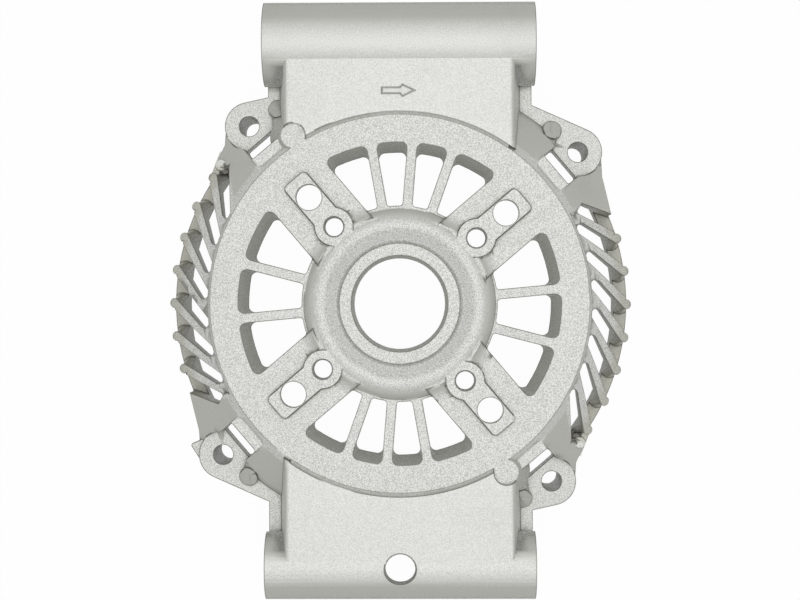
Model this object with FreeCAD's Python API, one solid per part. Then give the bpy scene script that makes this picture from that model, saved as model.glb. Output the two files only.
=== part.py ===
import FreeCAD, Part
import math
import os

from FreeCAD import Vector

# Alternator drive end bracket, one aluminium die casting, in millimetres.
# The bearing axis is Z and the pulley side looks up. The origin is on that axis, on the
# shoulder that the bearing's outer ring is pushed against. The two cross tubes run along X.
# Heights named "drop" or "rise" are counted down or up from the flat front ring.

# Bearing seat and hub
bearing_radius = 26.0
bearing_seat_length = 15.0
lip_thickness = 5.0
shaft_opening_radius = 14.6
shaft_opening_flare = 0.9
shaft_opening_flare_depth = 2.0
seat_lead_in = 0.6
hub_wall = 5.4
hub_edge_drop = 2.2
nose_radius = 19.3
nose_rise = 0.4
crown_radius = 24.8
crown_rise = 2.9

# Front ring, shoulder and rear rim
drum_radius = 75.5
shoulder_width = 13.8
ring_edge_bevel = 0.8
wall_thickness = 6.0
drum_wall = 4.3
drum_draft = 1.6
drum_depth = 40.0
elbow_drop = 13.0
elbow_bevel = 1.6
register_step = 0.9
register_depth = 4.0
inner_shoulder_inset = 1.2
inner_shoulder_drop = 7.5
inner_elbow_drop = 23.5

# Windows between the hub and the ring
pattern_angle = 40.3
ring_land = 9.9
window_draft = 3.0
window_outer_corner = 1.9
window_inner_corner = 1.0
arm_half_width_tall = 11.3
arm_half_width_wide = 11.9
arm_root_round = 2.6
spoke_width = 3.2
tall_spoke_spread = 14.7
wide_spoke_spread = 9.9

# Raised pads on the arms, with a screw hole and a larger hole through each
pad_rise = 2.4
pad_width = 9.0
pad_overlap = 0.4
pad_corner = 1.6
pad_nose_radius = 6.2
screw_hole_offset = 0.9
screw_hole_radius = 2.9
screw_hole_mouth = 0.35
screw_hole_mouth_depth = 2.0
screw_boss_radius = 5.4
hole_spacing = 12.3
stud_hole_radius = 4.1
stud_boss_radius = 6.8
boss_length = 3.0
hole_plain_length = 3.2
hole_widening = 1.0

# Louvre bars down both sides
bar_count = 7
bar_root_width = 1.8
bar_head_width = 3.2
bar_drop = 1.0
bar_pitch_angle = 8.45
first_bar_angle = 153.1
bar_middle_offset = 3.8
bar_lean = 50.0
bar_foot_spread = 2.0
bar_foot_rise = 16.0
slot_corner = 1.6
slot_tip = 1.2
first_gap_reach = 7.0
first_gap_turn = 191.0
last_gap_reach = 4.1
last_gap_angle = 206.5
last_gap_round = 1.0
rim_drop = 28.0

# Four bolt ears at the rear rim, with a slot inboard of each
ear_offset = 1.0
ear_radius = 8.0
ear_hole_radius = 3.25
ear_drop = 15.0
ear_plate_thickness = 8.0
seat_clearance = 0.1
slot_offset = 3.4
slot_width = 4.5
slot_half_length = 6.0
slot_corner_round = 0.8
notch_inset = 2.0
notch_half_length = 6.6
notch_corner_round = 2.0
shelf_drop = 2.2
shelf_offset = 1.0
shelf_corner_round = 1.2
shelf_side_spread = 0.9
right_foot_angle = 18.0
left_foot_angle = 143.3
column_radius = 3.0
column_angle = 8.3

# Flange, webs and cross tubes
flange_inset = 0.65
web_rise = 2.0
web_inset = 7.0
web_draft = 2.3
web_edge_round = 1.8
web_foot_bevel = 1.0
web_plate = 5.0
web_pocket_half_width = 26.0
web_rib_place = 11.0
web_rib_width = 3.0
web_notch_radius = 4.0
web_notch_inset = 2.9
web_notch_offset = 2.5
tube_half_length = 43.9
bottom_tube_half_length = 43.6
top_tube_offset = 8.9
top_tube_radius = 13.6
top_tube_drop = 10.2
top_bore_radius = 6.25
bottom_tube_offset = 9.4
bottom_tube_radius = 10.9
bottom_tube_drop = 8.6
bottom_bore_radius = 5.25
bottom_relief_radius = 6.0
bottom_relief_half_length = 9.0
bore_mouth_chamfer = 1.0
cross_hole_radius = 4.8
cross_hole_mouth_radius = 5.2
cross_hole_mouth_depth = 1.2
cross_hole_back_radius = 7.0

# Ribs behind the arms
arm_rib_width = 3.0
arm_rib_place = 7.6
arm_rib_depth = 9.0
arm_rib_inset = 4.7

# Pointed nib on the edge of one lower ear
nib_angle = 163.0
nib_reach = 3.0
nib_half_width = 2.9
nib_thickness = 4.0

# Places worked out from the sizes above
ring_radius = drum_radius - shoulder_width
hub_radius = bearing_radius + hub_wall
cavity_radius = drum_radius - drum_wall
register_radius = cavity_radius + register_step
inner_shoulder_radius = ring_radius - inner_shoulder_inset
window_front_radius = ring_radius - ring_land
window_back_radius = window_front_radius - window_draft
pad_reach = window_front_radius + pad_overlap
arm_rib_reach = ring_radius - arm_rib_inset
screw_hole_place = hub_radius + screw_hole_offset
stud_hole_place = screw_hole_place + hole_spacing
bar_place = ring_radius + bar_middle_offset
bar_head_place = drum_radius - bar_head_width / 2
ear_place = drum_radius + ear_offset
shelf_inner_place = ring_radius + shelf_offset
slot_inner_place = shelf_inner_place + slot_offset
slot_outer_place = slot_inner_place + slot_width
slot_middle_place = (slot_inner_place + slot_outer_place) / 2
notch_outer_place = ear_place - notch_inset
top_tube_place = drum_radius + top_tube_offset
bottom_tube_place = drum_radius + bottom_tube_offset
flange_half_width = tube_half_length - flange_inset
web_half_width = tube_half_length - web_inset
web_foot_half_width = web_half_width + web_draft
web_notch_side = web_half_width - web_notch_inset
web_notch_place = math.sqrt(ring_radius**2 - web_notch_side**2) + web_notch_offset

# Heights worked out from the sizes above
face_z = lip_thickness
rear_z = face_z - drum_depth
ear_z = face_z - ear_drop
ear_back_z = ear_z - ear_plate_thickness
rim_z = face_z - rim_drop
web_z = face_z + web_rise
pad_z = face_z + pad_rise
crown_z = face_z + crown_rise
top_tube_z = face_z - top_tube_drop
bottom_tube_z = face_z - bottom_tube_drop
wall_back_z = face_z - wall_thickness
past = 1.0
round_share = 1 - math.sqrt(0.5)

AXIS = Vector(0, 0, 1)
CENTRE = Vector(0, 0, 0)


def polar(radius, degrees, z=0.0):
    """A point at a radius and an angle about the bearing axis."""
    turn = math.radians(degrees)
    return Vector(radius * math.cos(turn), radius * math.sin(turn), z)


def outline(place, start, *steps):
    """A closed wire. A step is a point for a line, or a (middle, end) pair for an arc."""
    edges = []
    here = start
    for step in steps + (start,):
        if isinstance(step[0], tuple):
            middle, there = step
            edges.append(Part.Arc(place(*here), place(*middle), place(*there)).toShape())
        else:
            there = step
            if there != here:
                edges.append(Part.LineSegment(place(*here), place(*there)).toShape())
        here = there
    return Part.Wire(edges)


def in_section(radius, z):
    return Vector(radius, 0, z)


def revolved(start, *steps):
    """A solid of revolution about the bearing axis from a closed section."""
    face = Part.Face(outline(in_section, start, *steps))
    return face.revolve(CENTRE, AXIS, 360)


def prism(points, low, high):
    """A straight prism with a polygon for its plan."""
    corners = [Vector(x, y, low) for x, y in points]
    face = Part.Face(Part.makePolygon(corners + corners[:1]))
    return face.extrude(Vector(0, 0, high - low))


def disc(radius, low, high, place=CENTRE):
    return Part.makeCylinder(radius, high - low, Vector(place.x, place.y, low))


def block(x_low, x_high, y_low, y_high, z_low, z_high):
    size = Vector(x_high - x_low, y_high - y_low, z_high - z_low)
    return Part.makeBox(size.x, size.y, size.z, Vector(x_low, y_low, z_low))


def turned(shape, degrees):
    """A copy turned about the bearing axis."""
    copy = shape.copy()
    copy.rotate(CENTRE, AXIS, degrees)
    return copy


def both_ways(shape):
    """The shape and its copy turned by half a turn."""
    return [shape, turned(shape, 180)]


def upright_edges(shape, low, high, tallest=1.0):
    """Edges that run along Z, between two distances from the bearing axis."""
    found = []
    for edge in shape.Edges:
        first, last = edge.Vertexes[0].Point, edge.Vertexes[-1].Point
        flat = math.hypot(last.x - first.x, last.y - first.y)
        if abs(last.z - first.z) > max(tallest, flat):
            middle = (first + last) / 2
            if low < math.hypot(middle.x, middle.y) < high:
                found.append(edge)
    return found


def shoulder_line():
    """The drum's outer section, full from the axis."""
    slope = (drum_radius - ring_radius) / (elbow_drop - ring_edge_bevel)
    elbow = drum_radius - drum_draft
    elbow_z = face_z - elbow_drop + drum_draft / slope
    return revolved(
        (0, rear_z),
        (drum_radius, rear_z),
        (drum_radius, rim_z),
        (elbow, elbow_z - elbow_bevel),
        (elbow - slope * elbow_bevel, elbow_z + elbow_bevel),
        (ring_radius, face_z - ring_edge_bevel),
        (ring_radius - ring_edge_bevel, face_z),
        (0, face_z),
    )


def shoulder_cone():
    """The shoulder's slope carried on past its elbow, down to the back of the ears."""
    slope = (drum_radius - ring_radius) / (elbow_drop - ring_edge_bevel)
    top = face_z - ring_edge_bevel
    wide = ring_radius + slope * (top - ear_back_z)
    return revolved((0, rear_z), (wide, rear_z), (wide, ear_back_z), (ring_radius, top), (0, top))


def ear_shapes():
    """The four ears, flat-topped. On its louvre side each runs into the shoulder's slope."""
    inner = 0.65 * ring_radius
    ears = []
    cone = shoulder_cone()
    low, high = rear_z, ear_z
    right = polar(ear_place, pattern_angle)
    left = polar(ear_place, pattern_angle + 90)
    slope = 65.9
    tip = right + ear_radius * polar(1, slope)
    run = (tip.x - flange_half_width) / math.sin(math.radians(slope))
    corner = tip + run * polar(1, slope + 90)
    right_strip = [(corner.x, corner.y), (tip.x, tip.y), (right.x, right.y), (inner, inner)]
    side = right.x + ear_radius
    foot = polar(drum_radius - drum_draft, right_foot_angle)
    bend = right.y - ear_radius
    right_side = [(side, right.y), (side, bend), (foot.x, foot.y), (inner, foot.y), (right.x, right.y)]
    slope = 102.4
    tip = left + ear_radius * polar(1, slope)
    run = (-flange_half_width - tip.x) / math.sin(math.radians(slope))
    corner = tip + run * polar(1, slope - 90)
    left_strip = [(corner.x, corner.y), (tip.x, tip.y), (left.x, left.y), (-inner, inner)]
    side = left.x - ear_radius
    foot = polar(drum_radius, left_foot_angle)
    bend = left.y - 0.75 * ear_radius
    left_side = [(side, left.y), (side, bend), (foot.x, foot.y), (-inner, inner), (left.x, left.y)]
    for strip, flank, hole in ((right_strip, right_side, right), (left_strip, left_side, left)):
        ear = disc(ear_radius, low, high, hole).fuse(prism(strip, ear_back_z, high))
        ear = ear.fuse(prism(flank, low, face_z).common(cone))
        ears += both_ways(ear)
    return ears


def flange_shapes():
    """Flat strips at ear height, from the drum out to each cross tube."""
    width = flange_half_width
    top = block(-width, width, hub_radius, top_tube_place, ear_back_z, ear_z)
    bottom = block(-width, width, hub_radius, bottom_tube_place, ear_back_z, ear_z)
    return [top, turned(bottom, 180)]


def web_shape(length):
    """One web block: drafted side walls, rounded top edges, hollowed to the ring's curve."""
    low = ear_z - past
    start = hub_radius
    draft = (web_foot_half_width - web_half_width) / (web_rise + ear_drop)
    foot = web_foot_half_width + draft * past
    section = Part.makePolygon(
        [
            Vector(-foot, start, low),
            Vector(foot, start, low),
            Vector(web_half_width, start, web_z),
            Vector(-web_half_width, start, web_z),
            Vector(-foot, start, low),
        ]
    )
    web = Part.Face(section).extrude(Vector(0, length - start, 0))
    edges = [e for e in web.Edges if e.BoundBox.ZMin > web_z - 0.01 and e.BoundBox.YLength > past]
    web = web.makeFillet(web_edge_round, edges)
    side, place, radius = web_notch_side, web_notch_place, web_notch_radius
    bottom, top = low - past, web_z + past
    ring = disc(ring_radius, bottom, top)
    notch = disc(radius, bottom, top, Vector(-side, place, 0))
    clear = block(-side - 2 * radius, radius - side, start, place, bottom, top)
    return web.cut([ring, notch, clear])


def web_foot_shapes():
    """A bevel where the ring's face meets each web, up to the web's notch."""
    outer = ring_radius + past
    ring = revolved(
        (ring_radius - web_foot_bevel, face_z),
        (ring_radius - web_foot_bevel, face_z - ring_edge_bevel - past),
        (outer, face_z - ring_edge_bevel - past),
        (outer, face_z + web_foot_bevel),
        (ring_radius, face_z + web_foot_bevel),
    )
    narrow = web_notch_side - web_notch_radius
    wide = web_half_width - web_edge_round
    return both_ways(ring.common(block(-narrow, wide, 0, drum_radius, 0, web_z)))


def tube_shapes():
    """The two cross tubes, solid until their bores are cut."""
    tubes = []
    sizes = (
        (top_tube_place, top_tube_z, top_tube_radius, tube_half_length),
        (-bottom_tube_place, bottom_tube_z, bottom_tube_radius, bottom_tube_half_length),
    )
    for place, height, radius, half in sizes:
        start = Vector(-half, place, height)
        tubes.append(Part.makeCylinder(radius, 2 * half, start, Vector(1, 0, 0)))
    return tubes


def shelf_shapes():
    """A small flat shelf inboard of each ear, beside its slot."""
    shelf = block(shelf_inner_place - 4, slot_middle_place, -slot_half_length, slot_half_length,
                  wall_back_z - 4, face_z - shelf_drop)
    return [turned(shelf, pattern_angle + 90 * quarter) for quarter in range(4)]


def column_shapes():
    """A round lobe on the web side of each ear, where the slope runs down to the ear."""
    cone = shoulder_cone()
    columns = []
    for angle in (pattern_angle + column_angle, pattern_angle + 90 - column_angle):
        place = polar(drum_radius, angle)
        column = disc(column_radius, ear_back_z, face_z, place).common(cone)
        columns += both_ways(column)
    return columns


def nib_shape():
    """The pointed nib on the lower left ear."""
    ear = polar(ear_place, pattern_angle + 180)
    tip = ear + polar(ear_radius + nib_reach, nib_angle)
    base = ear + polar(ear_radius - 2, nib_angle)
    across = polar(nib_half_width, nib_angle + 90)
    wide = polar(1, nib_angle + 90)
    points = [base + 1.6 * across, tip + 0.4 * wide, tip - 0.4 * wide, base - 1.6 * across]
    return prism([(p.x, p.y) for p in points], ear_z - 1 - nib_thickness, ear_z - 1)


def outer_solid():
    """Everything seen from outside, before it is hollowed."""
    body = shoulder_line()
    pieces = ear_shapes() + flange_shapes() + column_shapes() + shelf_shapes() + [nib_shape()]
    pieces += [web_shape(top_tube_place), turned(web_shape(bottom_tube_place), 180)]
    pieces += web_foot_shapes() + tube_shapes()
    return body.fuse(pieces)


def shelf_plan(spread, z):
    """The plan of a shelf's recess, with its two inner corners rounded."""
    inner, outer = shelf_inner_place - spread, slot_middle_place
    half = slot_half_length + spread
    corner = shelf_corner_round + spread
    ease = corner * round_share
    return outline(
        lambda along, across: Vector(along, across, z),
        (outer, -half),
        (outer, half),
        (inner + corner, half),
        ((inner + ease, half - ease), (inner, half - corner)),
        (inner, corner - half),
        ((inner + ease, ease - half), (inner + corner, -half)),
    )


def ear_cuts():
    """Bolt seats, ear holes, slots with a notch behind, and the recess above each shelf."""
    cuts = []
    top = face_z + past
    for quarter in range(4):
        angle = pattern_angle + 90 * quarter
        hole = polar(ear_place, angle)
        cuts.append(disc(ear_radius + seat_clearance, ear_z, top, hole))
        cuts.append(disc(ear_hole_radius, rear_z - past, top, hole))
        half = slot_half_length
        slot = block(slot_inner_place, slot_outer_place, -half, half, rear_z - past, top)
        slot = slot.makeFillet(slot_corner_round, upright_edges(slot, 0, ear_place))
        seat = block(slot_middle_place, ear_place, -half, half, ear_z, top)
        wide = notch_half_length
        notch = block(slot_inner_place, notch_outer_place, -wide, wide, rear_z - past, ear_back_z)
        notch = notch.makeFillet(notch_corner_round, upright_edges(notch, notch_outer_place, ear_place))
        spread = shelf_side_spread * (shelf_drop + past) / shelf_drop
        recess = Part.makeLoft([shelf_plan(0, face_z - shelf_drop), shelf_plan(spread, top)], True, True)
        cuts += [turned(cut, angle) for cut in (slot, seat, notch, recess)]
    return cuts


def cavity():
    """The hollow of the cup behind the front wall, open to the rear."""
    return revolved(
        (0, rear_z - past),
        (register_radius, rear_z - past),
        (register_radius, rear_z + register_depth),
        (cavity_radius, rear_z + register_depth),
        (cavity_radius, face_z - inner_elbow_drop),
        (inner_shoulder_radius, face_z - inner_shoulder_drop),
        (inner_shoulder_radius - 3, wall_back_z),
        (0, wall_back_z),
    )


def web_pockets():
    """Core pockets behind the webs, with two ribs left standing in each."""
    deep = disc(cavity_radius, rear_z - past, web_z - web_plate - past)
    deep = deep.cut(disc(inner_shoulder_radius - 3, rear_z - 2 * past, web_z))
    width = web_pocket_half_width
    pockets = deep.common(block(-width, width, -drum_radius, drum_radius, rear_z, face_z))
    ribs = []
    for side in (-1, 1):
        middle = side * web_rib_place
        half = web_rib_width / 2
        ribs.append(block(middle - half, middle + half, -drum_radius, drum_radius, ear_back_z, face_z))
    return pockets.cut(ribs)


def hub():
    """The hub: flat nose, domed crown and the wall around the bearing."""
    back = -bearing_seat_length
    nose_z = face_z + nose_rise
    return revolved(
        (0, back),
        (hub_radius, back),
        (hub_radius, face_z - hub_edge_drop),
        ((hub_radius - 0.9, face_z + 0.3), (hub_radius - 3.2, face_z + 2.1)),
        ((crown_radius + 1.2, crown_z - 0.05), (crown_radius - 1.2, crown_z - 0.35)),
        (nose_radius + 0.2, face_z + 0.1),
        (nose_radius, nose_z),
        (0, nose_z),
    )


def arm_roots():
    """A hollow round between the crown and the face of each arm."""
    meet = hub_radius - 0.9
    ring = revolved(
        (meet - 3, wall_back_z),
        (meet + arm_root_round + past, wall_back_z),
        (meet + arm_root_round + past, face_z),
        ((meet + 0.6, face_z + 0.75), (meet - 1.6, face_z + arm_root_round - 0.5)),
        (meet - 3, face_z + arm_root_round - 0.5),
    )
    arms = [arm_bar(angle) for angle in (pattern_angle, pattern_angle + 90)]
    return ring.common(arms[0].fuse(arms[1]))


def arm_bar(angle):
    """A bar across the whole hub along one pair of arms, as wide as those arms."""
    tall, wide = arm_half_width_tall, arm_half_width_wide
    reach = ring_radius
    low, high = wall_back_z - 2 * past, crown_z + past
    if angle > 90:
        tall, wide = wide, tall
    outward = block(0, reach, -wide, tall, low, high)
    inward = turned(outward, 180)
    return turned(outward.fuse(inward), angle)


def spoke_angles():
    angles = []
    for half_turn in (0, 180):
        for side in (-1, 0, 1):
            angles.append(pattern_angle + 45 + side * tall_spoke_spread + half_turn)
        for side in (-1, 1):
            angles.append(pattern_angle - 45 + side * wide_spoke_spread + half_turn)
    return angles


def window_cuts():
    """Fourteen windows, as one drafted ring less the arms and the spokes."""
    lean = (window_front_radius - window_back_radius) / wall_thickness
    low, high = wall_back_z - past, face_z + past
    ring = revolved(
        (hub_radius, low),
        (window_back_radius - lean * past, low),
        (window_front_radius + lean * past, high),
        (hub_radius, high),
    )
    bars = [arm_bar(pattern_angle), arm_bar(pattern_angle + 90)]
    for angle in spoke_angles():
        half = spoke_width / 2
        spoke = block(hub_radius - 3, window_front_radius + 3, -half, half, low - past, high + past)
        bars.append(turned(spoke, angle))
    windows = []
    middle = (hub_radius + window_back_radius) / 2
    for window in ring.cut(bars).Solids:
        window = window.makeFillet(window_outer_corner, upright_edges(window, middle, ring_radius))
        window = window.makeFillet(window_inner_corner, upright_edges(window, 0, middle))
        windows.append(window)
    return windows


def pad_shapes():
    """Keyhole pads on the arms: a round nose at the screw hole and a straight tail."""
    half = pad_width / 2
    tail = block(screw_hole_place, pad_reach, -half, half, face_z - past, pad_z)
    tail = tail.makeFillet(pad_corner, upright_edges(tail, pad_reach - 1, pad_reach + half))
    nose = disc(pad_nose_radius, face_z - past, pad_z, Vector(screw_hole_place, 0, 0))
    pad = tail.fuse(nose).removeSplitter()
    return [turned(pad, pattern_angle + 90 * quarter) for quarter in range(4)]


def arm_backs():
    """Screw bosses, stud bosses and stiffening ribs behind the arms."""
    shapes = []
    deep = wall_back_z - arm_rib_depth
    wedge = revolved(
        (hub_radius - 2, wall_back_z + past),
        (hub_radius - 2, deep),
        (hub_radius + 2, deep),
        (arm_rib_reach, wall_back_z),
        (arm_rib_reach, wall_back_z + past),
    )
    for quarter in range(4):
        angle = pattern_angle + 90 * quarter
        screw = polar(screw_hole_place, angle)
        stud = polar(stud_hole_place, angle)
        back = wall_back_z - boss_length
        shapes.append(disc(screw_boss_radius, back, wall_back_z + past, screw))
        shapes.append(disc(stud_boss_radius, back, wall_back_z + past, stud))
        for side in (-1, 1):
            middle = side * arm_rib_place
            half = arm_rib_width / 2
            slab = block(0, ring_radius, middle - half, middle + half, rear_z, face_z)
            shapes.append(wedge.common(turned(slab, angle)))
    return shapes


def arm_holes():
    """Both holes in each arm, open behind a short plain wall, and a groove down the hub below."""
    holes = []
    back = wall_back_z - boss_length
    mouth = screw_hole_mouth_depth
    sizes = (
        (screw_hole_place, screw_hole_radius, pad_z - mouth - hole_plain_length),
        (stud_hole_place, stud_hole_radius, pad_z - hole_plain_length),
    )
    for quarter in range(4):
        angle = pattern_angle + 90 * quarter
        for place, radius, plain_z in sizes:
            holes.append(disc(radius, back - past, pad_z + past, polar(place, angle)))
            low = polar(place, angle, back)
            holes.append(Part.makeCone(radius + hole_widening, radius, plain_z - back, low))
        relief = polar(screw_hole_place, angle)
        holes.append(disc(screw_hole_radius + hole_widening, -bearing_seat_length - past, back, relief))
        wide = screw_hole_radius + screw_hole_mouth
        top = polar(screw_hole_place, angle, pad_z - mouth)
        holes.append(Part.makeCone(screw_hole_radius, wide, mouth, top))
    return holes


def hub_bore():
    """The bearing seat from the rear and the flared shaft opening in front of it."""
    back = -bearing_seat_length
    front = face_z + nose_rise
    flared = shaft_opening_radius + shaft_opening_flare
    return revolved(
        (0, back - past),
        (bearing_radius + seat_lead_in + past, back - past),
        (bearing_radius, back + seat_lead_in),
        (bearing_radius, 0),
        (shaft_opening_radius, 0),
        (shaft_opening_radius, front - shaft_opening_flare_depth),
        (flared, front),
        (flared, front + past),
        (0, front + past),
    )


def louvre_plan(angle):
    """The two sides of one leaning bar and the middle of its head, in plan."""
    middle = polar(bar_place, angle)
    way = polar(1, angle - bar_lean)
    side = polar(1, angle - bar_lean + 90)
    along = middle.dot(way)
    reach = math.sqrt(bar_head_place**2 - bar_place**2 + along**2) - along
    root = math.sqrt(ring_radius**2 - bar_place**2 + along**2) - along - 3 * past
    head = middle + reach * way
    back = middle + root * way
    thin, thick = bar_root_width / 2, bar_head_width / 2
    corners = [back + thin * side, head + thick * side, head - thick * side, back - thin * side]
    return corners, head, side


def louvre_bar(angle):
    """One leaning bar, thin at the ring and wider at its round head."""
    corners, head, side = louvre_plan(angle)
    low, high = rim_z - past, face_z + past
    return prism([(p.x, p.y) for p in corners], low, high).fuse(disc(bar_head_width / 2, low, high, head))


def louvre_foot(angle):
    """The drafted lower part of a bar, over the rim only. It spreads to one side."""
    corners, head, side = louvre_plan(angle)
    top, low = rim_z + bar_foot_rise, rim_z - past
    spread = bar_foot_spread * (top - low) / bar_foot_rise
    wide = corners[:2] + [corner - spread * side for corner in corners[2:]]
    plans = [
        Part.makePolygon([corner + Vector(0, 0, z) for corner in plan + plan[:1]])
        for plan, z in ((corners, top), (wide, low))
    ]
    inside = disc(cavity_radius, low - past, top + past)
    return Part.makeLoft(plans, True, True).cut(inside)


def louvre_head(angle):
    """The round end of a bar, standing out a little from the drum and spreading like its foot."""
    corners, head, side = louvre_plan(angle)
    top, low = rim_z + bar_foot_rise, rim_z - past
    spread = bar_foot_spread * (top - low) / bar_foot_rise
    radius = bar_head_width / 2
    middle = head - spread / 2 * side + Vector(0, 0, low)
    foot = Part.makeCone(radius + spread / 2, radius - spread / 2, top - low, middle)
    inside = disc(cavity_radius, low - past, face_z)
    return foot.fuse(disc(radius, low, face_z, head)).cut(inside)


def louvre_zone():
    """The plan of the whole slotted part on one side, as tall as the slots."""
    start = first_bar_angle - bar_pitch_angle
    end = first_bar_angle + bar_pitch_angle * bar_count
    start_way, end_way = polar(1, start - bar_lean), polar(1, end - bar_lean)
    half = bar_head_width / 2
    start_edge = polar(bar_place, start) + half * polar(1, start - bar_lean + 90)
    end_edge = polar(bar_place, end) - half * polar(1, end - bar_lean + 90)
    turn = start_edge + first_gap_reach * start_way
    far = 2 * shoulder_width
    last_bar = louvre_plan(end - bar_pitch_angle)[0]
    points = [
        start_edge - shoulder_width * start_way,
        turn,
        turn + far * polar(1, first_gap_turn),
        polar(drum_radius + far, 180),
        end_edge + far * end_way,
        end_edge + last_gap_reach * end_way,
        polar(ring_radius + past, last_gap_angle),
        (last_bar[0] + last_bar[3]) / 2,
    ]
    zone = prism([(p.x, p.y) for p in points], rim_z, face_z + past)
    return zone.cut(disc(ring_radius, rim_z - past, face_z + 2 * past))


def slot_round(edge):
    """The round for one corner of a slot: tight at the pointed end, easy at the blunt end."""
    place = edge.Vertexes[0].Point
    if math.hypot(place.x, place.y) > ring_radius + 2:
        return last_gap_round
    turn = math.degrees(math.atan2(place.y, place.x)) - first_bar_angle
    return slot_tip if turn % bar_pitch_angle < bar_pitch_angle / 2 else slot_corner


def louvre_angles():
    return [first_bar_angle + bar_pitch_angle * step for step in range(bar_count)]


def lowered_cone():
    """The slope that the tops of the bars lie on, a step below the ear's slope."""
    cone = shoulder_cone()
    cone.translate(Vector(0, 0, -bar_drop))
    return cone


def louvre_cuts():
    """All slots on one side, and the skin taken off so that the bars lie below the ring."""
    zone = louvre_zone()
    slots = zone.cut([louvre_bar(angle) for angle in louvre_angles()])
    for radius in (slot_tip, slot_corner, last_gap_round):
        corners = upright_edges(slots, ring_radius - 0.1, bar_place + 2 * past)
        slots = slots.makeFillet(radius, [edge for edge in corners if slot_round(edge) == radius])
    slots = slots.cut([louvre_foot(angle) for angle in louvre_angles()])
    return [slots, zone.cut(lowered_cone())]


def louvre_heads():
    cone = lowered_cone()
    return [way for angle in louvre_angles() for way in both_ways(louvre_head(angle).common(cone))]


def tube_bores():
    """Bores through both cross tubes, the lower one wider midway, and the hole across it."""
    cuts = []
    along = Vector(1, 0, 0)
    bores = (
        (top_tube_place, top_tube_z, top_bore_radius, tube_half_length),
        (-bottom_tube_place, bottom_tube_z, bottom_bore_radius, bottom_tube_half_length),
    )
    for place, height, radius, end in bores:
        start = Vector(-end, place, height)
        cuts.append(Part.makeCylinder(radius, 2 * end, start, along))
        mouth = Part.makeCone(radius + bore_mouth_chamfer, radius, bore_mouth_chamfer, start, along)
        cuts += [mouth, mouth.mirror(CENTRE, along)]
    half = bottom_relief_half_length
    start = Vector(-half, -bottom_tube_place, bottom_tube_z)
    cuts.append(Part.makeCylinder(bottom_relief_radius, 2 * half, start, along))
    middle = Vector(0, -bottom_tube_place, 0)
    top = bottom_tube_z + bottom_tube_radius
    cuts.append(disc(cross_hole_radius, bottom_tube_z, top + past, middle))
    cuts.append(disc(cross_hole_back_radius, ear_back_z - past, bottom_tube_z, middle))
    mouth = Part.makeCone(cross_hole_radius, cross_hole_mouth_radius, cross_hole_mouth_depth,
                          Vector(0, -bottom_tube_place, top - cross_hole_mouth_depth))
    cuts.append(mouth)
    return cuts


def drive_end_bracket():
    body = outer_solid().cut(ear_cuts())
    body = body.cut([cavity(), web_pockets()])
    body = body.fuse([hub(), arm_roots()] + arm_backs())
    body = body.cut(window_cuts())
    body = body.fuse(pad_shapes())
    louvres = [way for cut in louvre_cuts() for way in both_ways(cut)]
    body = body.cut(arm_holes() + [hub_bore()] + louvres + tube_bores())
    return body.fuse(louvre_heads()).removeSplitter()


bracket = drive_end_bracket()
solids = bracket.Solids
print("solids", len(solids), "valid", bracket.isValid(), "volume cm3", round(bracket.Volume / 1000, 1))
print("box", bracket.BoundBox)
os.makedirs("parts", exist_ok=True)
solids[0].exportStep("parts/drive_end_bracket.step")
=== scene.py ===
import math

import bpy
from mathutils import Matrix, Vector


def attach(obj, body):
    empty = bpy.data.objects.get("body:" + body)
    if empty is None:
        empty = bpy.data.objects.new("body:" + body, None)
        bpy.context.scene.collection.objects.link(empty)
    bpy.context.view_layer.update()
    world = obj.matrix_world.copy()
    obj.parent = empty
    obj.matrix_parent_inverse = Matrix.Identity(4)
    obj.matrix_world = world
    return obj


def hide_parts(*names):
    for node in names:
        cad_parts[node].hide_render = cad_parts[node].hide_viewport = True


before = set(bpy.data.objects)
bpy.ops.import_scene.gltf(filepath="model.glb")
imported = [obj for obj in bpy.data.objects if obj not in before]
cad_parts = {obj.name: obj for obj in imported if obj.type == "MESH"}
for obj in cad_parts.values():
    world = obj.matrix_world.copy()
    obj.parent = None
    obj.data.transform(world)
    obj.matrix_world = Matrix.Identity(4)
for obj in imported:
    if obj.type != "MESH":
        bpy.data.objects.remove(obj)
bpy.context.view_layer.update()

MM = 0.001

# The bracket lies on its rear rim and is seen from straight above, from its pulley side.
REAR_Z = -35.0 * MM
WEB_Z = 7.0 * MM

# The point the camera looks at on the front ring, and where it stands from there
AIM = Vector((0.13, 1.18, 5.0)) * MM
STAND = Vector((7.96, 0.06, 583.0)) * MM
ROLL = math.radians(-0.17)
LENS = 81.96
SENSOR_WIDTH = 36

# Zones of the finish in millimetres: each ramp goes from no effect at the first length to all of it
# at the second. Radii are taken from the bearing axis.
HUB_FACE = (26.5, 24.5)
# The nose groove zone takes a ring of painted shade in its crease
NOSE_GROOVE_SHADE_IN, NOSE_GROOVE_SHADE_OUT = (19.1, 19.6), (20.5, 19.9)
RING_EDGE_IN, RING_EDGE_OUT = (60.4, 60.9), (63.8, 62.9)
WEB_RADIUS, WEB_LEVEL = (58.0, 60.0), (5.8, 6.6)
LOUVRE_RADIUS, LOUVRE_HEIGHT = (61.0, 63.0), (31.0, 29.5)
BAR_HEAD_RADIUS = (69.5, 72.5)
FIRST_BAR_WIDTH, FIRST_BAR_HEIGHT, FIRST_BAR_SLANT = (45.2, 46.0), (46.0, 44.5), 0.227
FIRST_BAR_CORNERS = (-200.0, -600.0)

# Upward part of the surface normal at which the colour turns from the flat tone to the wall tone, a duller
# finish darkened further as painted shade
FLAT_TO_WALL = (1.02, 0.83)
FLAT_TO_WALL_ON_BARS = (0.70, 0.35)
UPRIGHT = (0.45, 0.05)
SLOPING = (0.35, 0.55)

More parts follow.
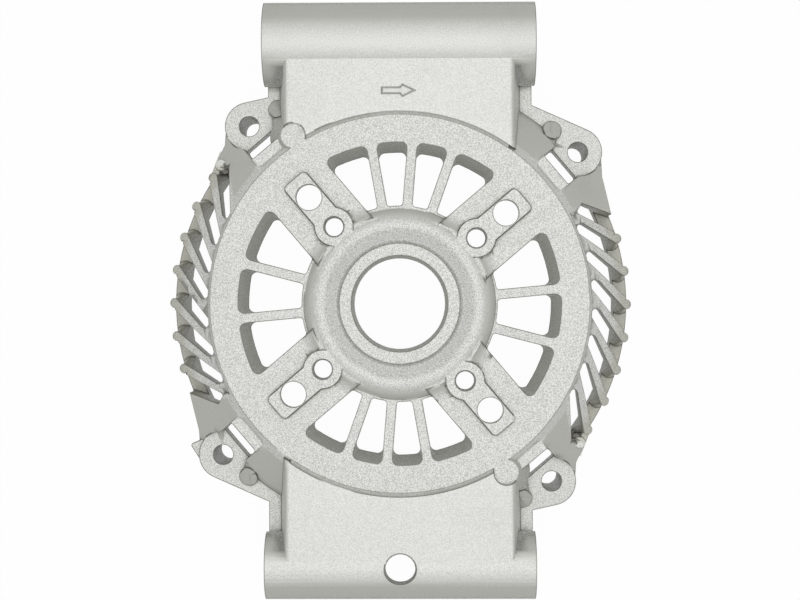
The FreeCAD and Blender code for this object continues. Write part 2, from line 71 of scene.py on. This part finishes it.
PALE = (0.79, 0.795, 0.76, 1)
DULL = (0.36, 0.365, 0.34, 1)
WALL_TONE_AND_SHADE = (0.53, 0.53, 0.49, 1)
SHADED_WALL_SPECK = (0.24, 0.24, 0.215, 1)
OLIVE_SHADE = (0.50, 0.485, 0.385, 1)
CREASE_SHADE = (0.13, 0.125, 0.10, 1)


class Link:
    """One output of a shader node. Arithmetic on it adds the Math nodes it needs."""

    def __init__(self, finish, socket):
        self.finish = finish
        self.socket = socket

    def worked(self, operation, *values):
        return self.finish.node("Math", {"operation": operation}, *values)

    def __add__(self, other):
        return self.worked("ADD", self, other)

    __radd__ = __add__

    def __mul__(self, other):
        return self.worked("MULTIPLY", self, other)

    __rmul__ = __mul__

    def __sub__(self, other):
        return self.worked("SUBTRACT", self, other)

    def __rsub__(self, other):
        return self.worked("SUBTRACT", other, self)

    def ramp(self, low, high):
        """0 below low, 1 above high, smooth between. It falls if low is the larger."""
        turned = low > high
        low, high = min(low, high), max(low, high)
        values = {"Value": self, "From Min": low, "From Max": high}
        risen = self.finish.node("MapRange", {"interpolation_type": "SMOOTHSTEP"}, **values)
        return 1 - risen if turned else risen

    def length_ramp(self, low, high):
        """The ramp of a length between two lengths in millimetres."""
        return self.ramp(low * MM, high * MM)

    def squared_ramp(self, low, high):
        """The ramp of a squared length between two lengths in millimetres."""
        return self.ramp((low * MM) ** 2, (high * MM) ** 2)


class Finish:
    """A material under construction."""

    def __init__(self, name):
        self.material = bpy.data.materials.new(name)
        self.material.use_nodes = True
        self.tree = self.material.node_tree
        self.shader = self.tree.nodes["Principled BSDF"]
        self.place = self.node("TexCoord", output="Object")

    def node(self, kind, settings=None, *values, output=0, **named):
        """Adds a node, sets it up, feeds its sockets and returns one of its outputs."""
        made = self.tree.nodes.new("ShaderNode" + kind)
        for name, value in (settings or {}).items():
            setattr(made, name, value)
        for socket, value in zip(made.inputs, values):
            self.feed(socket, value)
        for name, value in named.items():
            self.feed(next(s for s in made.inputs if s.name == name and s.enabled), value)
        return Link(self, made.outputs[output])

    def feed(self, socket, value):
        if isinstance(value, Link):
            self.tree.links.new(value.socket, socket)
        else:
            socket.default_value = value

    def noise(self, scale, detail, roughness):
        """Noise drawn out along Z, so that upright walls show as fine a grain from above as flats do."""
        drawn_out = self.node("VectorMath", {"operation": "MULTIPLY"}, self.place, (1.0, 1.0, 0.14))
        return self.node("TexNoise", Vector=drawn_out, Scale=scale, Detail=detail, Roughness=roughness)

    def part(self, vector, axis):
        """One component of a vector: 0, 1 or 2."""
        return self.node("SeparateXYZ", None, vector, output=axis)

    def blend(self, amount, first, second):
        """Goes from the first colour to the second as the amount goes from 0 to 1."""
        made = self.tree.nodes.new("ShaderNodeMix")
        made.data_type = "RGBA"
        self.feed(made.inputs[0], amount)
        self.feed(made.inputs[6], first)
        self.feed(made.inputs[7], second)
        return Link(self, made.outputs[2])

    def surface(self, **values):
        for name, value in values.items():
            self.feed(self.shader.inputs[name.replace("_", " ")], value)
        return self.material


def louvre_zone(across, along, reach):
    """The rim outside the ring where the louvre bars stand, the first bar on each side included."""
    middle = (along * along).squared_ramp(*LOUVRE_HEIGHT)
    width, height = across.worked("ABSOLUTE", across), along.worked("ABSOLUTE", along)
    first_bar = (width - FIRST_BAR_SLANT * height).length_ramp(*FIRST_BAR_WIDTH)
    first_bar = first_bar * height.length_ramp(*FIRST_BAR_HEIGHT)
    low, high = FIRST_BAR_CORNERS
    first_bar = first_bar * (across * along).ramp(low * MM ** 2, high * MM ** 2)
    return middle.worked("MAXIMUM", middle, first_bar) * reach.squared_ramp(*LOUVRE_RADIUS)


def cast_aluminium(name, with_painted_shade_lines):
    """Shot-blasted die casting: pale grey, fine grain, duller walls darkened further with painted shade,
    painted olive shade on the bar heads, and, if asked for, thin dark lines of painted shade along edges and
    in creases.
    """
    finish = Finish(name)
    fine = finish.noise(3400.0, 2.0, 0.6)
    coarse = finish.noise(1600.0, 1.0, 0.5)
    cloud = finish.noise(38.0, 3.0, 0.55)
    normal = finish.node("NewGeometry", output="Normal")
    rounded = finish.node("Bevel", {"samples": 8}, Radius=0.6 * MM)

    # Where on the casting: the soft zones take their wall tone and its painted shade later than the rest
    across, along, level = (finish.part(finish.place, axis) for axis in range(3))
    reach = across * across + along * along
    louvres = louvre_zone(across, along, reach)
    ring_edge = reach.squared_ramp(*RING_EDGE_IN) * reach.squared_ramp(*RING_EDGE_OUT)
    soft = reach.squared_ramp(*HUB_FACE) + louvres.worked("MAXIMUM", louvres, ring_edge * 0.75)
    web_top = level.length_ramp(*WEB_LEVEL) * reach.squared_ramp(*WEB_RADIUS)
    heads = reach.squared_ramp(*BAR_HEAD_RADIUS) * louvres

    # How steep: slopes and walls take the duller wall tone, darkened further as painted shade because less
    # light falls on them; upright walls take less of it, since little light reaches them anyway
    upward = finish.part(normal, 2)
    steep = upward.ramp(*FLAT_TO_WALL) * (1 - soft) + upward.ramp(*FLAT_TO_WALL_ON_BARS) * soft
    sloping = steep * upward.ramp(*SLOPING)
    # Painted light: upright walls outside the louvres are lightened, standing for the white surroundings they
    # reflect
    steep = steep * (1 - 0.7 * upward.ramp(*UPRIGHT) * (1 - louvres))

    grain = (fine.ramp(0.60, 0.38) * 0.74 + coarse.ramp(0.60, 0.36) * 0.08) * (1 - 0.45 * web_top)
    colour = finish.blend(steep, PALE, WALL_TONE_AND_SHADE)
    # Painted shade: the bar heads, which slope back to the rim, take an olive tint
    colour = finish.blend(heads * 0.6, colour, OLIVE_SHADE)
    # The grain's specks on slopes and walls are darker too, as painted shade
    speck = finish.blend(steep, DULL, SHADED_WALL_SPECK)
    colour = finish.blend(grain * (1 - 0.8 * sloping) + cloud.ramp(0.5, 0.75) * 0.08, colour, speck)
    if with_painted_shade_lines:
        # Painted shade: dark lines along edges where the rounded normal parts from the surface normal,
        # ambient occlusion in creases, and a ring in the nose groove
        shade = finish.node("AmbientOcclusion", {"samples": 8}, output=1, Distance=2.2 * MM)
        agreement = finish.node("VectorMath", {"operation": "DOT_PRODUCT"}, rounded, normal, output="Value")
        nose_groove_shade = reach.squared_ramp(*NOSE_GROOVE_SHADE_IN) * reach.squared_ramp(*NOSE_GROOVE_SHADE_OUT)
        line = agreement.ramp(0.998, 0.95) * 0.88 + shade.ramp(0.86, 0.35) * 0.5 + nose_groove_shade * 0.45
        colour = finish.blend(line, colour, CREASE_SHADE)
    relief = (fine * 0.7 + coarse * 0.7) * (1 - 0.7 * steep)
    bump = finish.node("Bump", None, Strength=0.5, Distance=0.08 * MM, Height=relief, Normal=rounded)
    return finish.surface(Base_Color=colour, Metallic=0.2, Roughness=0.62 - 0.12 * fine, Normal=bump)


def take_up(node, name):
    """A free copy of a CAD node, selected and active."""
    bpy.ops.object.select_all(action="DESELECT")
    piece = node.copy()
    piece.data = node.data.copy()
    piece.name = name
    piece.parent = None
    bpy.context.scene.collection.objects.link(piece)
    piece.select_set(True)
    bpy.context.view_layer.objects.active = piece
    return piece


def dressed_casting(material):
    """The CAD node again, merged, with smooth curves and plain flat faces."""
    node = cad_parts["drive_end_bracket"]
    casting = take_up(node, "blasted_casting")
    bpy.ops.object.mode_set(mode="EDIT")
    bpy.ops.mesh.select_all(action="SELECT")
    bpy.ops.mesh.remove_doubles(threshold=0.002 * MM)
    bpy.ops.mesh.dissolve_limited(angle_limit=math.radians(0.3))
    bpy.ops.object.mode_set(mode="OBJECT")
    bpy.ops.object.shade_smooth_by_angle(angle=math.radians(24))
    bpy.ops.object.modifier_add(type="WEIGHTED_NORMAL")
    casting.modifiers[-1].keep_sharp = True
    casting.modifiers[-1].weight = 90
    bpy.ops.object.modifier_apply(modifier=casting.modifiers[-1].name)
    casting.data.materials.clear()
    casting.data.materials.append(material)
    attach(casting, "root")
    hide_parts("drive_end_bracket")


def arrow(material):
    """The raised outline of a plain arrow on the top web."""
    tail, notch, barb, tip = -5.7, 0.3, 1.0, 5.5
    middle, shaft_half, barb_half = 68.1, 1.15, 2.1
    line, rise = 0.42, 0.3
    bpy.ops.object.select_all(action="DESELECT")
    bpy.ops.mesh.primitive_plane_add(size=1, location=((tail + notch) / 2 * MM, middle * MM, WEB_Z))
    outline = bpy.context.object
    outline.name = "arrow_outline"
    outline.scale = ((notch - tail) * MM, 2 * shaft_half * MM, 1)
    bpy.ops.object.transform_apply(location=True, scale=True)

    # The shaft's front edge is drawn out to the barbs, and these to the tip
    bpy.ops.object.mode_set(mode="EDIT")
    bpy.ops.mesh.select_mode(type="EDGE")
    bpy.ops.mesh.select_all(action="DESELECT")
    bpy.ops.object.mode_set(mode="OBJECT")
    for edge in outline.data.edges:
        edge.select = all(outline.data.vertices[v].co.x > (notch - 0.1) * MM for v in edge.vertices)
    bpy.ops.object.mode_set(mode="EDIT")
    step = {"value": ((barb - notch) * MM, 0, 0)}
    bpy.ops.mesh.extrude_region_move(TRANSFORM_OT_translate=step)
    bpy.ops.transform.resize(value=(1, barb_half / shaft_half, 1))
    step = {"value": ((tip - barb) * MM, 0, 0)}
    bpy.ops.mesh.extrude_region_move(TRANSFORM_OT_translate=step)
    bpy.ops.mesh.merge(type="CENTER")

    # Only a line along the edge is kept, and raised
    bpy.ops.mesh.select_mode(type="FACE")
    bpy.ops.mesh.select_all(action="SELECT")
    bpy.ops.mesh.dissolve_faces()
    bpy.ops.mesh.select_all(action="SELECT")
    bpy.ops.mesh.inset(thickness=line * MM)
    bpy.ops.mesh.delete(type="FACE")
    bpy.ops.mesh.select_all(action="SELECT")
    bpy.ops.mesh.extrude_region_move(TRANSFORM_OT_translate={"value": (0, 0, rise * MM)})
    bpy.ops.mesh.select_all(action="SELECT")
    bpy.ops.mesh.normals_make_consistent(inside=False)
    bpy.ops.object.mode_set(mode="OBJECT")
    outline.data.materials.append(material)
    bpy.ops.object.origin_set(type="ORIGIN_CURSOR")
    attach(outline, "root")


def settle(piece, name, material):
    """Gives a new piece its name, finish and place on the casting."""
    piece.name = name
    bpy.ops.object.transform_apply(location=True, rotation=True, scale=True)
    bpy.ops.object.shade_smooth_by_angle(angle=math.radians(40))
    piece.data.materials.append(material)
    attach(piece, "root")


def mounds(material):
    """Round lobes beside the ears and the webs, and round heads over the first louvre gaps' ends."""
    ear_lobe_radius, ear_lobe_angles = 75.3, (48.6, 122.0)
    # Name, place in plan, lower level, radius there, upper level, radius there
    shapes = []
    for angle in ear_lobe_angles:
        turn = math.radians(angle)
        place = Vector((ear_lobe_radius * math.cos(turn), ear_lobe_radius * math.sin(turn)))
        shapes.append(("ear_lobe", place, -10.0, 3.3, -7.1, 0.1))
    shapes.append(("ring_lobe", Vector((-34.0, 54.0)), -3.0, 8.0, 5.01, 3.95))
    shapes.append(("gap_head", Vector((-58.5, 45.5)), -14.0, 2.5, -6.4, 1.8))
    for name, place, low, wide, top, narrow in shapes:
        for side in (1, -1):
            bpy.ops.object.select_all(action="DESELECT")
            middle = (side * place.x * MM, side * place.y * MM, (low + top) / 2 * MM)
            bpy.ops.mesh.primitive_cone_add(
                vertices=64, radius1=wide * MM, radius2=narrow * MM, depth=(top - low) * MM, location=middle)
            settle(bpy.context.object, name, material)


def gap_walls(material):
    """The thin outer walls of the first louvre gaps, each of two blocks."""
    level, height, turn = -15.3, 11.8, math.radians(-21.4)
    # Place in plan, width and length
    blocks = ((-59.7, 45.2, 2.2, 9.8), (-57.8, 46.7, 3.6, 3.2))
    for side in (1, -1):
        for x, y, wide, long in blocks:
            bpy.ops.object.select_all(action="DESELECT")
            place = (x * side * MM, y * side * MM, level * MM)
            bpy.ops.mesh.primitive_cube_add(size=1, location=place, rotation=(0, 0, turn))
            bpy.context.object.scale = (wide * MM, long * MM, height * MM)
            settle(bpy.context.object, "gap_wall", material)


def white_to_camera(tree, lit, glow, strength):
    """Mixes a plain white glow over the lit surface, for the camera, reflections and what is seen through."""
    nodes, links = tree.nodes, tree.links
    path = nodes.new("ShaderNodeLightPath")
    seen = nodes.new("ShaderNodeMath")
    seen.operation = "MAXIMUM"
    links.new(path.outputs["Is Camera Ray"], seen.inputs[0])
    links.new(path.outputs["Is Glossy Ray"], seen.inputs[1])
    either = nodes.new("ShaderNodeMath")
    either.operation = "MAXIMUM"
    links.new(seen.outputs[0], either.inputs[0])
    links.new(path.outputs["Is Transmission Ray"], either.inputs[1])
    share = nodes.new("ShaderNodeMath")
    share.operation = "MULTIPLY"
    links.new(either.outputs[0], share.inputs[0])
    share.inputs[1].default_value = strength
    mix = nodes.new("ShaderNodeMixShader")
    links.new(share.outputs[0], mix.inputs[0])
    links.new(lit, mix.inputs[1])
    links.new(glow, mix.inputs[2])
    return mix.outputs[0]


def floor():
    """A white table under the rear rim, which keeps a trace of the object's shadow."""
    bpy.ops.object.select_all(action="DESELECT")
    bpy.ops.mesh.primitive_plane_add(size=6, location=(0, 0, REAR_Z))
    table = bpy.context.object
    table.name = "table"
    material = bpy.data.materials.new("white_table")
    material.use_nodes = True
    tree = material.node_tree
    shader = tree.nodes["Principled BSDF"]
    shader.inputs["Base Color"].default_value = (0.9, 0.9, 0.9, 1)
    shader.inputs["Roughness"].default_value = 0.9
    glow = tree.nodes.new("ShaderNodeEmission")
    seen = white_to_camera(tree, shader.outputs[0], glow.outputs[0], 0.97)
    tree.links.new(seen, tree.nodes["Material Output"].inputs[0])
    table.data.materials.append(material)


def surroundings():
    """An even grey sky that the camera sees as white."""
    world = bpy.data.worlds.new("studio")
    bpy.context.scene.world = world
    world.use_nodes = True
    tree = world.node_tree
    lit = tree.nodes["Background"]
    lit.inputs["Color"].default_value = (1, 1, 1, 1)
    lit.inputs["Strength"].default_value = 0.40
    white = tree.nodes.new("ShaderNodeBackground")
    white.inputs["Color"].default_value = (1, 1, 1, 1)
    seen = white_to_camera(tree, lit.outputs[0], white.outputs[0], 1.0)
    tree.links.new(seen, tree.nodes["World Output"].inputs[0])


def lamp(name, place, size, power):
    """A square area lamp that faces the part's origin."""
    data = bpy.data.lights.new(name, "AREA")
    data.size = size
    data.energy = power
    made = bpy.data.objects.new(name, data)
    bpy.context.scene.collection.objects.link(made)
    made.location = place
    made.rotation_euler = (-Vector(place)).to_track_quat("-Z", "Y").to_euler()


def camera():
    """The camera over the bracket, with +Y upwards in the picture but for a small roll."""
    eye = AIM + STAND
    back = STAND.normalized()
    right = Vector((0, 1, 0)).cross(back).normalized()
    up = back.cross(right)
    turn = Matrix.Rotation(ROLL, 3, back)
    columns = Matrix((turn @ right, turn @ up, back)).transposed()
    data = bpy.data.cameras.new("camera")
    data.sensor_width = SENSOR_WIDTH
    data.lens = LENS
    data.clip_end = 20
    made = bpy.data.objects.new("camera", data)
    bpy.context.scene.collection.objects.link(made)
    made.matrix_world = Matrix.Translation(eye) @ columns.to_4x4()
    bpy.context.scene.camera = made


aluminium = cast_aluminium("cast_aluminium", True)
plain_aluminium = cast_aluminium("cast_aluminium_plain", False)
dressed_casting(aluminium)
arrow(aluminium)
mounds(plain_aluminium)
gap_walls(plain_aluminium)
floor()
surroundings()
lamp("overhead", place=(0.04, 0.04, 0.95), size=0.6, power=4.3)
camera()
bpy.context.scene.view_settings.view_transform = "Standard"
